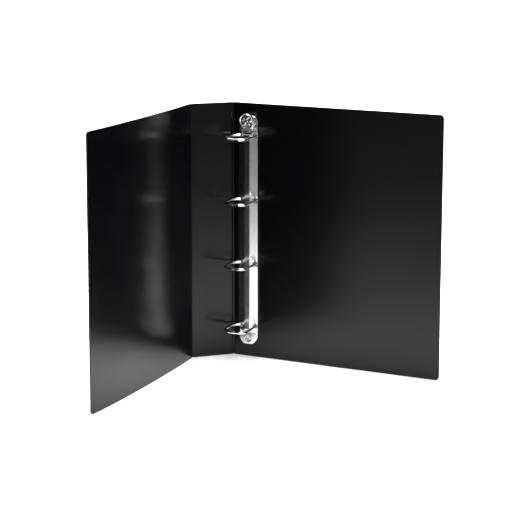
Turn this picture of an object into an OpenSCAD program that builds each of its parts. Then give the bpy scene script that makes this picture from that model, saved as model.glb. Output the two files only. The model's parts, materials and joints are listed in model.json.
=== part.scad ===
// Ring binder: a folding plastic cover, and a ring mechanism riveted inside it.
//
// Millimetres, +Z up. The origin is the middle of the back cover's bottom edge.
// The back cover lies in the XZ plane, and its inside faces -Y. The rear fold is
// at its -X edge; the spine panel and then the front cover turn from there
// towards -Y. The rings are drawn closed and the covers part open.

/* [Cover] */
// Width of each cover, from its fold to its free edge
cover_w = 280; // [240:1:340]
// Height of the cover
cover_h = 320; // [308:1:400]
// Width of the spine panel, from fold to fold
spine_w = 56; // [54:1:90]
// Thickness of the cover's sheet
sheet_t = 1.6; // [1.2:0.1:2.4]
// Radius of the covers' free corners
corner_r = 5; // [1:0.5:20]
// Turn of the spine panel from flat, as stored
spine_angle = 48.5; // [0:0.5:90]
// Turn of the front cover's chord from flat, as stored
front_angle = 96; // [0:0.5:180]
// Bow of the front cover over its whole width, in degrees
front_bow = 6.8; // [1:0.1:12]

/* [Folds] */
// Radius of the round web on each fold line
web_r = 0.5; // [0.4:0.05:0.6]
// Width of the pressed-down strip beside each fold line
coin_w = 3; // [2:0.5:6]
// Gap between a fold's web and the cover that turns on it
web_fit = 0.05; // [0.03:0.01:0.1]

/* [Ring mechanism] */
// Distance from the rear fold to the mechanism's middle line
plate_inset = 22.5; // [21:0.5:60]
// Height of the mechanism's ring centre over the cover's middle
mech_lift = 0; // [-5:0.5:5]
// Number of rings
ring_count = 4; // [2:1:4]
// Distance from ring to ring
ring_pitch = 80; // [70:1:80]
// Width of the arched cover plate
plate_w = 26; // [24:0.5:32]
// Length of the cover plate below the lowest ring
plate_low = 23.5; // [22:0.5:26]
// Length of the cover plate above the highest ring
plate_high = 25; // [24:0.5:28]
// Height of the cover plate's flat crown
crown_n = 6.2; // [6:0.1:8]
// Width of the crown
crown_w = 7.4; // [6:0.2:9]
// Height of the plate's side walls
side_n = 3; // [2.9:0.1:3.6]
// Height of the flattened ends
tab_n = 3.2; // [3:0.1:4]
// Thickness of the cover plate's steel
plate_t = 0.7; // [0.5:0.05:0.8]

/* [Rings] */
// Diameter of the ring wire
wire_d = 3; // [2:0.1:3.6]
// Height of the ring's top over the cover, at the wire's middle
ring_top = 45; // [38:1:46]
// Reach of the ring's round side from the middle line, over the wire
ring_over = 19.8; // [19:0.1:19.8]
// Radius of the round side's upper curve
ring_curve = 16.5; // [15:0.5:17]
// Radius of the round side's lower curve, beside the plate
ring_heel = 11; // [10.5:0.5:11.5]
// Lean of the round side towards the middle, in degrees
side_lean = 7; // [7:0.5:10]
// Radius of the corner over the straight leg
ring_corner = 7; // [4:0.5:8]
// Lean of the straight leg away from the middle, in degrees
leg_lean = 8; // [0:1:10]
// Gap between the two tips of a closed ring
tip_gap = 0.1; // [0.05:0.05:0.3]

/* [Trigger] */
// Diameter of the trigger's thumb disc
disc_d = 19.5; // [14:0.5:20]
// Lean of the disc, its top away from the cover
disc_lean = 12; // [6:1:20]
// Diameter of the trigger's pin
pin_d = 1.8; // [1.4:0.1:2]

/* [Rivets] */
// Diameter of a rivet's shank
rivet_d = 3.5; // [3:0.1:4]
// Diameter of a rivet's outer head
rivet_head_d = 8; // [7:0.5:9]
// Diameter of the washer under the outer head
washer_d = 11; // [10:0.5:14]
// Thickness of the washer
washer_t = 0.4; // [0.3:0.1:1]

/* [Hidden] */

cover_black = [0.05, 0.05, 0.055];
nickel = [0.80, 0.80, 0.79];
round_fn = 64;
bow_fn = 3000;
eps = 0.01;

// Folds, seen from above: each panel's own X runs from its fold to its far edge.
web_tip_x = 0.7 * web_r;
web_tip_half = 0.6 * web_r;
rear_fold = [-cover_w / 2, 0];
front_fold = rear_fold - spine_w * [cos(spine_angle), sin(spine_angle)];
bow_r = (cover_w - coin_w) / (front_bow * PI / 180);
front_end_x = coin_w + bow_r * sin(front_bow);

// Mechanism, drawn in its own frame: X across it from its middle line, Y off the
// cover's inner face, and Z up.
plate_half = plate_w / 2;
crown_half = crown_w / 2;
mech_z = cover_h / 2 + mech_lift;
ring_z = [for (i = [0 : ring_count - 1]) mech_z + (i - (ring_count - 1) / 2) * ring_pitch];
ring_z_low = ring_z[0];
ring_z_high = ring_z[ring_count - 1];
plate_z_low = ring_z_low - plate_low;
plate_z_high = ring_z_high + plate_high;
flank_slope = (crown_n - side_n) / (plate_half - crown_half);
flank_len = sqrt(1 + flank_slope * flank_slope);
tab_taper = 10;
tab_end_half = 6.35;
tab_corner_r = 8;
ramp_len = 2.6;
ramp_rise = crown_n - tab_n;
ramp_skew = (sqrt(ramp_len * ramp_len + ramp_rise * ramp_rise) - ramp_len) / ramp_rise;
ramp_margin = 1;

// Rails: each turns about the bead along its outer edge, and dips to the middle.
rail_t = 0.8;
rail_bead_r = 0.5;
rail_dip = 3.5;
rail_inset = 1.5;
rail_n = 1.9;
rail_gap = 0.15;
rail_end = 4;
rail_v = plate_half - rail_inset;
rail_w = rail_v - rail_gap;
rail_z_low = ring_z_low - rail_end;
rail_z_high = ring_z_high + rail_end + 1;
ramp_z_low = rail_z_low - ramp_margin;
ramp_z_high = rail_z_high + ramp_len - ramp_margin;
lip_w = 1.5;
lip_n = 1.1;

// Rings
wire_r = wire_d / 2;
leg_gap = 0.4;
leg_v = plate_half - plate_t - leg_gap - wire_r;
foot_n = 1.5;
split_v = 2.2;
leg_out = [cos(leg_lean), -sin(leg_lean)];
corner_n = ring_top - ring_corner;
corner_v = leg_v + (corner_n - foot_n) * tan(leg_lean) - ring_corner / cos(leg_lean);
knee_n = 3.4;
joint_swell = 0.03;
foot_turn = 74;
heel = [ring_heel + wire_r - ring_over, knee_n + ring_heel * sin(foot_turn)];
knee = heel - ring_heel * [cos(foot_turn), sin(foot_turn)];
foot_v = knee[0];
side_out = [-cos(side_lean), sin(side_lean)];
side_off = heel * side_out + ring_heel;
crest_n = ring_top - ring_curve;
crest_v = (crest_n * sin(side_lean) + ring_curve - side_off) / cos(side_lean);
crest = [crest_v, crest_n];
side_low = heel + ring_heel * side_out;
side_high = crest + ring_curve * side_out;
peg_len = 0.9;
peg_r = wire_r * 0.45;
peg_tip_r = wire_r * 0.25;
peg_gap = 0.25;
slot_n = 2.2;
slot_gap = 1;
slot_inner = 1.6;
slot_foot = 3.6;

// Trigger
pin_r = pin_d / 2;
pin_n = 3;
pin_z = rail_z_high + 3;
pin_fit = 0.05;
hub_r = 1.9;
hub_half = 5.8;
ear_gap = 0.4;
ear_t = 0.7;
ear_half = 2.2;
ear_low = 1.2;
ear_high = 5;
ear_v = hub_half + ear_gap;
pin_end = 0.5;
window_z_low = rail_z_high - 2.8;
window_z_high = pin_z + 3;
tongue_t = 0.5;
tongue_gap = 0.1;
tongue_high = rail_n - rail_w * sin(rail_dip) - rail_t / 2 * cos(rail_dip) - tongue_gap;
tongue_low = tongue_high - tongue_t;
tongue_half = 4;
tongue_reach = 5.5;
jaw_n = 2.4;
jaw_t = 0.8;
jaw_half = 3;
jaw_reach = 5.1;
disc_r = disc_d / 2;
disc_t = 1.4;
disc_rim_w = 1.3;
disc_rim_h = 0.5;
disc_rise = 10;
disc_press_gap = 0.46;
disc_z = pin_z + disc_rise;
disc_n = pin_n + (tab_n + disc_press_gap - pin_n + disc_rise * sin(disc_lean)) / cos(disc_lean);
neck_t = 1.3;
neck_half = 5.7;
neck_join = 8.5;

// Rivets
rivet_r = rivet_d / 2;
rivet_fit = 0.05;
rivet_low = 6.7;
rivet_high = 8;
rivet_z_low = plate_z_low + rivet_low;
rivet_z_high = plate_z_high - rivet_high;
dish_floor = 0.8;
dish_top_r = 4.6;
dish_low_r = 3;
dish_wall = 0.6;
flange_r = 2.6;
flange_t = 0.6;
bore_r = 1;
bore_depth = 1.2;
head_rim = 0.4;
head_dome = 0.8;

// A panel's edge at a fold thins to the web, on both faces
module fold_edge(length, seat_r) {
    difference() {
        polygon([
            [web_tip_x, -web_tip_half],
            [coin_w, -sheet_t / 2],
            [length, -sheet_t / 2],
            [length, sheet_t / 2],
            [coin_w, sheet_t / 2],
            [web_tip_x, web_tip_half]
        ]);
        circle(r = seat_r, $fn = round_fn);
    }
}

// The outline of a cover seen from the front, with its two free corners rounded
module cover_outline(length) {
    rotate([90, 0, 0])
        linear_extrude(height = cover_w, center = true) {
            square([length - corner_r, cover_h]);
            translate([0, corner_r])
                square([length, cover_h - 2 * corner_r]);
            for (z = [corner_r, cover_h - corner_r])
                translate([length - corner_r, z])
                    circle(r = corner_r, $fn = round_fn);
        }
}

// The sheet of the front cover from its pressed strip on, a true arc from above
module bowed_strip() {
    reach = 2 * bow_r;
    translate([coin_w, -bow_r])
        intersection() {
            difference() {
                circle(r = bow_r + sheet_t / 2, $fn = bow_fn);
                circle(r = bow_r - sheet_t / 2, $fn = bow_fn);
            }
            polygon([[0, 0], [0, reach], [reach * tan(front_bow), reach]]);
        }
}

module back_cover() {
    color(cover_black)
        difference() {
            translate([rear_fold[0], 0, 0])
                intersection() {
                    linear_extrude(height = cover_h)
                        fold_edge(cover_w, web_r + web_fit);
                    cover_outline(cover_w);
                }
            for (z = [rivet_z_low, rivet_z_high])
                on_back_cover()
                    translate([0, -2 * sheet_t, z])
                        rotate([-90, 0, 0])
                            cylinder(r = rivet_r + rivet_fit, h = 3 * sheet_t, $fn = round_fn);
        }
}

module spine_panel() {
    half = spine_w / 2;
    color(cover_black)
        translate([rear_fold[0], rear_fold[1], 0])
            rotate([0, 0, 180 + spine_angle])
                linear_extrude(height = cover_h) {
                    fold_edge(half, web_r);
                    translate([spine_w, 0])
                        mirror([1, 0])
                            fold_edge(half, web_r);
                }
}

module front_cover() {
    color(cover_black)
        translate([front_fold[0], front_fold[1], 0])
            rotate([0, 0, 180 + front_angle + front_bow / 2])
                intersection() {
                    linear_extrude(height = cover_h) {
                        fold_edge(coin_w, web_r + web_fit);
                        bowed_strip();
                    }
                    cover_outline(front_end_x);
                }
}

module hinge_web(fold) {
    color(cover_black)
        translate([fold[0], fold[1], 0])
            cylinder(r = web_r, h = cover_h, $fn = round_fn);
}

// Puts a piece drawn in the mechanism's frame where it lies on the back cover
module on_back_cover() {
    translate([plate_inset - cover_w / 2, -sheet_t / 2, 0])
        mirror([0, 1, 0])
            children();
}

// The arch seen from its end, a skin's thickness in from its outside
function arch_section(skin) =
    let (half = plate_half - skin,
         top_half = crown_half - skin * (flank_len - 1) / flank_slope,
         side = side_n + flank_slope * skin - skin * flank_len,
         low = skin > 0 ? -1 : 0)
    [[-half, low], [-half, side], [-top_half, crown_n - skin],
     [top_half, crown_n - skin], [half, side], [half, low]];

// The plate seen from its side, as [height off the cover, Z]
function side_section(skin) =
    let (low = skin > 0 ? -1 : 0,
         top = crown_n + 1,
         over = ramp_len / ramp_rise,
         shift = skin * ramp_skew)
    [[low, plate_z_low + skin],
     [tab_n - skin, plate_z_low + skin],
     [tab_n - skin, ramp_z_low - ramp_len + shift],
     [top - skin, ramp_z_low + over + shift],
     [top - skin, ramp_z_high - ramp_len - over - shift],
     [tab_n - skin, ramp_z_high - shift],
     [tab_n - skin, plate_z_high - skin],
     [low, plate_z_high - skin]];

// The plate seen from the front: a tapered lower end and two round upper corners
module plan_section(skin) {
    half = plate_half - skin;
    low = plate_z_low + skin;
    high = plate_z_high - skin;
    round_r = tab_corner_r - skin;
    polygon([
        [-tab_end_half + skin, low],
        [tab_end_half - skin, low],
        [half, low + tab_taper],
        [half, high - round_r],
        [-half, high - round_r],
        [-half, low + tab_taper]
    ]);
    translate([-half + round_r, high - round_r - eps])
        square([2 * (half - round_r), round_r + eps]);
    for (side = [-1, 1])
        translate([side * (half - round_r), high - round_r])
            circle(r = round_r, $fn = round_fn);
}

module plate_solid(skin) {
    intersection() {
        linear_extrude(height = cover_h)
            polygon(arch_section(skin));
        rotate([90, 0, 90])
            linear_extrude(height = plate_w, center = true)
                polygon(side_section(skin));
        translate([0, crown_n, 0])
            rotate([90, 0, 0])
                linear_extrude(height = 2 * crown_n)
                    plan_section(skin);
    }
}

// A cone round a rivet's line, from the cover's inner face outwards
module rivet_cone(z, low_n, high_n, low_r, high_r) {
    translate([0, low_n, z])
        rotate([-90, 0, 0])
            cylinder(h = high_n - low_n, r1 = low_r, r2 = high_r, $fn = round_fn);
}

module ring_slots() {
    slot_z = wire_r + slot_gap;
    reach = plate_half + 1;
    for (z = ring_z) {
        translate([leg_v - wire_r - slot_inner, slot_n, z - slot_z])
            cube([reach - leg_v + wire_r + slot_inner, crown_n, 2 * slot_z]);
        translate([-reach, slot_n, z - slot_z])
            cube([reach + foot_v + slot_foot, crown_n, 2 * slot_z]);
    }
}

module cover_plate() {
    lip_len = rail_z_high - rail_z_low;
    color(nickel)
        on_back_cover()
            difference() {
                union() {
                    difference() {
                        plate_solid(0);
                        plate_solid(plate_t);
                        translate([-ear_v, ear_low, window_z_low])
                            cube([2 * ear_v, crown_n, window_z_high - window_z_low]);
                    }
                    for (v = [-plate_half + plate_t - eps, plate_half - plate_t - lip_w + eps])
                        translate([v, 0, rail_z_low])
                            cube([lip_w, lip_n, lip_len]);
                    for (z = [rivet_z_low, rivet_z_high])
                        rivet_cone(z, 0, tab_n, dish_low_r + dish_wall, dish_top_r + dish_wall);
                    for (v = [-ear_v - ear_t, ear_v])
                        translate([v, ear_low, pin_z - ear_half])
                            cube([ear_t, ear_high - ear_low, 2 * ear_half]);
                }
                ring_slots();
                for (z = [rivet_z_low, rivet_z_high]) {
                    rivet_cone(z, dish_floor, tab_n + eps, dish_low_r, dish_top_r);
                    rivet_cone(z, -1, 1, rivet_r + rivet_fit, rivet_r + rivet_fit);
                }
                translate([-plate_half, pin_n, pin_z])
                    rotate([0, 90, 0])
                        cylinder(r = pin_r + eps, h = plate_w, $fn = round_fn);
            }
}

module rail(side) {
    color(nickel)
        on_back_cover()
            translate([side * rail_v, rail_n, rail_z_low])
                linear_extrude(height = rail_z_high - rail_z_low) {
                    circle(r = rail_bead_r, $fn = round_fn);
                    rotate(side * rail_dip)
                        translate([side > 0 ? -rail_w : 0, -rail_t / 2])
                            square([rail_w, rail_t]);
                }
}

// A straight stretch of wire from one point of a ring's plane to another
module wire(from, to) {
    run = to - from;
    translate([from[0], from[1], 0])
        rotate([0, 0, atan2(run[1], run[0])])
            rotate([0, 90, 0])
                cylinder(r = wire_r, h = norm(run), $fn = round_fn);
}

// The ball that joins two stretches of wire, a hair wider than they are
module wire_joint(at) {
    translate([at[0], at[1], 0])
        sphere(r = wire_r + joint_swell, $fn = round_fn);
}

// A curved stretch of wire about a centre in a ring's plane
module wire_bend(centre, radius, start, turn) {
    translate([centre[0], centre[1], 0])
        rotate([0, 0, start])
            rotate_extrude(angle = turn, $fn = 2 * round_fn)
                translate([radius, 0])
                    circle(r = wire_r, $fn = round_fn);
}

// The straight-legged half of a ring, with the peg on its tip
module ring_right(z) {
    tip_v = split_v + tip_gap / 2;
    corner = [corner_v, corner_n];
    leg_end = corner + ring_corner * leg_out;
    color(nickel)
        on_back_cover()
            translate([0, 0, z]) {
                wire([leg_v, foot_n], leg_end);
                wire_joint(leg_end);
                wire_bend(corner, ring_corner, -leg_lean, 90 + leg_lean);
                wire([corner_v, ring_top], [tip_v, ring_top]);
                translate([tip_v + eps, ring_top, 0])
                    rotate([0, -90, 0])
                        cylinder(r1 = peg_r, r2 = peg_tip_r, h = peg_len, $fn = round_fn);
            }
}

// The round half of a ring, with the socket in its tip
module ring_left(z) {
    tip_v = split_v - tip_gap / 2;
    socket = peg_len + peg_gap;
    color(nickel)
        on_back_cover()
            translate([0, 0, z])
                difference() {
                    union() {
                        wire([tip_v, ring_top], [crest_v, ring_top]);
                        wire_bend(crest, ring_curve, 90, 90 - side_lean);
                        wire(side_high, side_low);
                        wire_bend(heel, ring_heel, 180 - side_lean, side_lean + foot_turn);
                        for (joint = [knee, side_low, side_high, [crest_v, ring_top]])
                            wire_joint(joint);
                        wire(knee, [foot_v, foot_n]);
                    }
                    translate([tip_v + eps, ring_top, 0])
                        rotate([0, -90, 0])
                            cylinder(r1 = peg_r + peg_gap, r2 = peg_tip_r + peg_gap, h = socket,
                                $fn = round_fn);
                }
}

// A slab across the trigger, from its side view given as [height off the cover, Z]
module trigger_slab(points, half) {
    rotate([90, 0, 90])
        linear_extrude(height = 2 * half, center = true)
            polygon(points);
}

module trigger_lever() {
    tongue_z = pin_z - tongue_reach;
    rail_end_z = rail_z_high + 0.2;
    neck_end = [disc_n, disc_z] - neck_join * [sin(disc_lean), cos(disc_lean)];
    neck_run = neck_end - [pin_n, pin_z];
    neck_way = neck_run / norm(neck_run);
    neck_side = neck_t / 2 * [-neck_way[1], neck_way[0]];
    neck_tip = neck_end + neck_way * disc_t * 0.6;
    hub = [pin_n, pin_z];
    color(nickel)
        on_back_cover()
            difference() {
                union() {
                    translate([-hub_half, pin_n, pin_z])
                        rotate([0, 90, 0])
                            cylinder(r = hub_r, h = 2 * hub_half, $fn = round_fn);
                    trigger_slab([
                        [tongue_low, tongue_z],
                        [tongue_high, tongue_z],
                        [tongue_high, rail_end_z],
                        [pin_n - 1, pin_z - 1.4],
                        [pin_n - 1.6, pin_z],
                        [tongue_low, rail_end_z + 0.7]
                    ], tongue_half);
                    trigger_slab([
                        [jaw_n, pin_z - jaw_reach],
                        [jaw_n + jaw_t, pin_z - jaw_reach],
                        [pin_n + 1.4, pin_z - 1],
                        [pin_n, pin_z],
                        [jaw_n, pin_z - 1]
                    ], jaw_half);
                    trigger_slab([hub - neck_side, neck_tip - neck_side,
                        neck_tip + neck_side, hub + neck_side], neck_half);
                    translate([0, disc_n, disc_z])
                        rotate([-90 - disc_lean, 0, 0])
                            rotate_extrude($fn = 2 * round_fn)
                                polygon([
                                    [0, 0],
                                    [disc_r, 0],
                                    [disc_r, disc_t + disc_rim_h],
                                    [disc_r - disc_rim_w, disc_t + disc_rim_h],
                                    [disc_r - disc_rim_w, disc_t],
                                    [0, disc_t]
                                ]);
                }
                translate([-plate_half, pin_n, pin_z])
                    rotate([0, 90, 0])
                        cylinder(r = pin_r + pin_fit, h = plate_w, $fn = round_fn);
            }
}

module trigger_pin() {
    half = ear_v + ear_t + pin_end;
    color(nickel)
        on_back_cover()
            translate([-half, pin_n, pin_z])
                rotate([0, 90, 0])
                    cylinder(r = pin_r, h = 2 * half, $fn = round_fn);
}

// A hollow rivet: a domed head outside the cover and a rolled flange in the dish
module rivet(z) {
    outer_n = -sheet_t - washer_t;
    inner_n = dish_floor + flange_t;
    head_r = rivet_head_d / 2;
    dome_r = (head_r * head_r + head_dome * head_dome) / (2 * head_dome);
    color(nickel)
        on_back_cover()
            difference() {
                union() {
                    rivet_cone(z, outer_n - head_rim, outer_n, head_r, head_r);
                    intersection() {
                        translate([0, outer_n - head_rim - head_dome + dome_r, z])
                            sphere(r = dome_r, $fn = 2 * round_fn);
                        rivet_cone(z, outer_n - head_rim - head_dome - 1,
                            outer_n - head_rim + eps, head_r, head_r);
                    }
                    rivet_cone(z, outer_n - eps, inner_n, rivet_r, rivet_r);
                    rivet_cone(z, dish_floor, inner_n, flange_r, flange_r);
                }
                rivet_cone(z, inner_n - bore_depth, inner_n + eps, bore_r, bore_r);
            }
}

module washer(z) {
    color(nickel)
        on_back_cover()
            difference() {
                rivet_cone(z, -sheet_t - washer_t, -sheet_t, washer_d / 2, washer_d / 2);
                rivet_cone(z, -2 * sheet_t - washer_t, 0, rivet_r + rivet_fit, rivet_r + rivet_fit);
            }
}

back_cover();
spine_panel();
front_cover();
hinge_web(rear_fold);  // rear_hinge_web
hinge_web(front_fold);  // front_hinge_web
cover_plate();
rail(-1);  // left_rail
rail(1);  // right_rail
ring_left(ring_z[0]);  // ring_left_1
ring_left(ring_z[1]);  // ring_left_2
ring_left(ring_z[2]);  // ring_left_3
ring_left(ring_z[3]);  // ring_left_4
ring_right(ring_z[0]);  // ring_right_1
ring_right(ring_z[1]);  // ring_right_2
ring_right(ring_z[2]);  // ring_right_3
ring_right(ring_z[3]);  // ring_right_4
trigger_lever();
trigger_pin();
rivet(rivet_z_high);  // top_rivet
rivet(rivet_z_low);  // bottom_rivet
washer(rivet_z_high);  // top_washer
washer(rivet_z_low);  // bottom_washer
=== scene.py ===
"""A black ring binder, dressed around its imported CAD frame.

Every length is in metres and every piece lies in the frame's own axes: +Z up, the back
cover in the XZ plane, its inside facing -Y. The mechanism's pieces are first drawn in
the mechanism's own axes: across it, off the cover, and up.
"""
import json
import logging
import math
from dataclasses import dataclass, field
from enum import Enum
from typing import Callable, Iterable, Optional, Sequence, Union

import bmesh
import bpy
from mathutils import Matrix, Vector


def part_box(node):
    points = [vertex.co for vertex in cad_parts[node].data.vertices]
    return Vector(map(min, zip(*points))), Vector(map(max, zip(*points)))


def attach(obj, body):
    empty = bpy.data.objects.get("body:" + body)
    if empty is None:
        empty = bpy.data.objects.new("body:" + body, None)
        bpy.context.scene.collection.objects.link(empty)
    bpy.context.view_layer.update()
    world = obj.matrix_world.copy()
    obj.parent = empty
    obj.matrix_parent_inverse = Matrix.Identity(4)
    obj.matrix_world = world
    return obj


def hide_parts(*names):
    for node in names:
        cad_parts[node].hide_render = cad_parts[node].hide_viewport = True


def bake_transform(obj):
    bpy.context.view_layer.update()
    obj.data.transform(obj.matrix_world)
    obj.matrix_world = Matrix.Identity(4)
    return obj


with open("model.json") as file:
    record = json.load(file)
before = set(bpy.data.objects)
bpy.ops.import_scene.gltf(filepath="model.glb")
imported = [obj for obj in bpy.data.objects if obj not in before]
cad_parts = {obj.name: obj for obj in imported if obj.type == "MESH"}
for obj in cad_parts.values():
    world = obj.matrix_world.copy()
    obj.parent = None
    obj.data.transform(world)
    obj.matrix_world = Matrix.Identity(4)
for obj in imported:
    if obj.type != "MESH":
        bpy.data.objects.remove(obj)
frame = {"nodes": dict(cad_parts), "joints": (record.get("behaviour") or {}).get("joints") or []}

LOG = logging.getLogger("binder")
MM = 0.001

Point = tuple[float, float, float]
Flat = tuple[float, float]
Face = tuple[int, ...]
Number = Union[float, int]


# ---------------------------------------------------------------- shader expressions


class Value:
    """A shader socket that takes part in arithmetic, adding Math nodes as it goes."""

    def __init__(self, graph: "Graph", socket: bpy.types.NodeSocket) -> None:
        """Keeps the socket and the graph that it belongs to."""
        self.graph = graph
        self.socket = socket

    def math(self, operation: str, *others: Union["Value", Number]) -> "Value":
        """Applies one Math operation to this value.

        Args:
            operation: The Math node's operation, such as "MULTIPLY".
            others: The operation's other inputs, in order.

        Returns:
            The result as a new value.
        """
        return self.graph.calculate(operation, self, *others)

    def __add__(self, other: Union["Value", Number]) -> "Value":
        """This value plus another."""
        return self.math("ADD", other)

    def __radd__(self, other: Number) -> "Value":
        """A number plus this value."""
        return self.graph.calculate("ADD", other, self)

    def __sub__(self, other: Union["Value", Number]) -> "Value":
        """This value less another."""
        return self.math("SUBTRACT", other)

    def __rsub__(self, other: Number) -> "Value":
        """A number less this value."""
        return self.graph.calculate("SUBTRACT", other, self)

    def __mul__(self, other: Union["Value", Number]) -> "Value":
        """This value times another."""
        return self.math("MULTIPLY", other)

    def __rmul__(self, other: Number) -> "Value":
        """A number times this value."""
        return self.graph.calculate("MULTIPLY", other, self)

    def smoothstep(self, low: float, high: float) -> "Value":
        """Rises smoothly from 0 at low to 1 at high.

        Args:
            low: The value at which the result leaves 0.
            high: The value at which the result reaches 1.

        Returns:
            The eased value.
        """
        return self.graph.node(
            "ShaderNodeMapRange",
            {"interpolation_type": "SMOOTHSTEP"},
            {"Value": self, "From Min": low, "From Max": high},
        )


class Graph:
    """The node tree of one material, built by expressions."""

    def __init__(self, name: str) -> None:
        """Makes an empty material of the given name, with its output node."""
        self.material = bpy.data.materials.new(name)
        self.material.use_nodes = True
        self.tree = self.material.node_tree
        self.tree.nodes.clear()
        self.output = self.tree.nodes.new("ShaderNodeOutputMaterial")

    def feed(self, socket: bpy.types.NodeSocket, value: object) -> None:
        """Links a value to a socket, or sets the socket to a constant."""
        if isinstance(value, Value):
            self.tree.links.new(value.socket, socket)
        else:
            socket.default_value = value

    def node(
        self,
        kind: str,
        settings: Optional[dict] = None,
        inputs: Optional[dict] = None,
        output: Union[int, str] = 0,
    ) -> Value:
        """Adds a node of any type.

        Args:
            kind: The node's type name.
            settings: Properties set before the inputs; "stops" sets a ramp's stops.
            inputs: Constants or values, by input name or index.
            output: The output to hand back, by name or index.

        Returns:
            The chosen output as a value.
        """
        made = self.tree.nodes.new(kind)
        for name, value in (settings or {}).items():
            if name == "stops":
                self._set_stops(made.color_ramp, value)
            else:
                setattr(made, name, value)
        for name, value in (inputs or {}).items():
            self.feed(made.inputs[name], value)
        return Value(self, made.outputs[output])

    @staticmethod
    def _set_stops(ramp: bpy.types.ColorRamp, stops: Sequence[tuple[float, float]]) -> None:
        """Sets a colour ramp to grey stops, each a place and a level."""
        while len(ramp.elements) < len(stops):
            ramp.elements.new(1.0)
        for element, (place, level) in zip(ramp.elements, stops):
            element.position = place
            element.color = (level, level, level, 1.0)

    def calculate(self, operation: str, *terms: Union[Value, Number]) -> Value:
        """Adds one Math node over two or three terms."""
        return self.node(
            "ShaderNodeMath", {"operation": operation}, dict(enumerate(terms))
        )

    def place(self) -> Value:
        """The rest position of the surface, in metres, fixed to the piece."""
        return self.node("ShaderNodeTexCoord", output="Object")

    def stretched(self, scale: Point) -> Value:
        """The rest position with each axis scaled by its own factor."""
        return self.node(
            "ShaderNodeVectorMath", {"operation": "MULTIPLY"}, {0: self.place(), 1: scale}
        )

    def noise(self, scale: float, detail: float = 2.0, at: Optional[Value] = None) -> Value:
        """Smooth noise from 0 to 1.

        Args:
            scale: Features per metre.
            detail: Octaves of finer noise.
            at: Where to sample it, the rest position if left out.

        Returns:
            The noise value.
        """
        where = at if at is not None else self.place()
        return self.node(
            "ShaderNodeTexNoise", None, {"Vector": where, "Scale": scale, "Detail": detail}
        )

    def cells(self, scale: float, feature: str = "F1") -> Value:
        """Distance to the nearest of many scattered points, scale points per metre."""
        return self.node(
            "ShaderNodeTexVoronoi", {"feature": feature}, {"Vector": self.place(), "Scale": scale}
        )

    def attribute(self, name: str) -> Value:
        """A number stored on the mesh's vertices."""
        return self.node("ShaderNodeAttribute", {"attribute_name": name}, output="Fac")

    def mix_colour(self, factor: Value, low: Union[Value, Point], high: Point) -> Value:
        """Blends two colours by a value.

        Args:
            factor: 0 gives low and 1 gives high.
            low: Linear red, green and blue, or a colour that is already a value.
            high: Linear red, green and blue.

        Returns:
            The blended colour.
        """
        base = low if isinstance(low, Value) else (*low, 1.0)
        return self.node(
            "ShaderNodeMix", {"data_type": "RGBA"}, {0: factor, 6: base, 7: (*high, 1.0)}, output=2
        )

    def bump(self, height: Value) -> Value:
        """A normal from a height in metres."""
        return self.node(
            "ShaderNodeBump", None, {"Strength": 1.0, "Distance": 1.0, "Height": height}
        )

    def surface(self, varying: dict[str, Value], constant: dict[str, object]) -> bpy.types.Material:
        """Finishes the material with one principled shader.

        Args:
            varying: Values for Base Color, Roughness or Normal.
            constant: Numbers or colours set on the shader's own sockets.

        Returns:
            The finished material.
        """
        shader = self.node("ShaderNodeBsdfPrincipled", None, {**constant, **varying})
        self.tree.links.new(shader.socket, self.output.inputs["Surface"])
        return self.material


# ------------------------------------------------------------------------- finishes


@dataclass(frozen=True)
class SheetPlastic:
    """Satin black polypropylene sheet: fine grain, slow waves, rubbed edges."""

    name: str = "cover_sheet_plastic"
    black: Point = (0.0010, 0.0011, 0.0015)
    haze: Point = (0.0018, 0.0020, 0.0027)
    rubbed: Point = (0.030, 0.030, 0.032)
    roughness: float = 0.22
    grain_per_metre: float = 2400.0
    grain_height: float = 0.0035 * MM
    pore_height: float = 0.0028 * MM
    streak_height: float = 0.0012 * MM
    wave_per_metre: float = 11.0
    wave_height: float = 0.35 * MM

    def build(self) -> bpy.types.Material:
        """Returns the finished material."""
        g = Graph(self.name)
        cloud = g.noise(26.0, 4.0)
        fine = g.noise(self.grain_per_metre, 2.0)
        pores = g.cells(self.grain_per_metre * 0.55, "SMOOTH_F1")
        streaks = g.noise(1.0, 3.0, g.stretched((900.0, 900.0, 14.0)))
        scuffs = g.noise(1.0, 2.0, g.stretched((60.0, 60.0, 1500.0))).smoothstep(0.68, 0.80)
        patches = g.noise(14.0, 2.0).smoothstep(0.48, 0.72)
        edge = g.attribute("edge")
        rub = edge * g.noise(420.0, 3.0).smoothstep(0.30, 0.75)
        tint = g.mix_colour(cloud, self.black, self.haze)
        colour = g.mix_colour(rub, tint, self.rubbed)
        rough = (
            self.roughness
            + 0.07 * (cloud - 0.5)
            + 0.05 * (fine - 0.5)
            + 0.08 * scuffs * patches
            + 0.12 * rub
        )
        height = (
            self.grain_height * fine
            + self.pore_height * pores
            + self.streak_height * streaks
            + self.wave_height * g.noise(self.wave_per_metre, 0.0)
        )
        return g.surface(
            {"Base Color": colour, "Roughness": rough, "Normal": g.bump(height)},
            {"IOR": 1.50, "Specular IOR Level": 0.30},
        )


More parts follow.
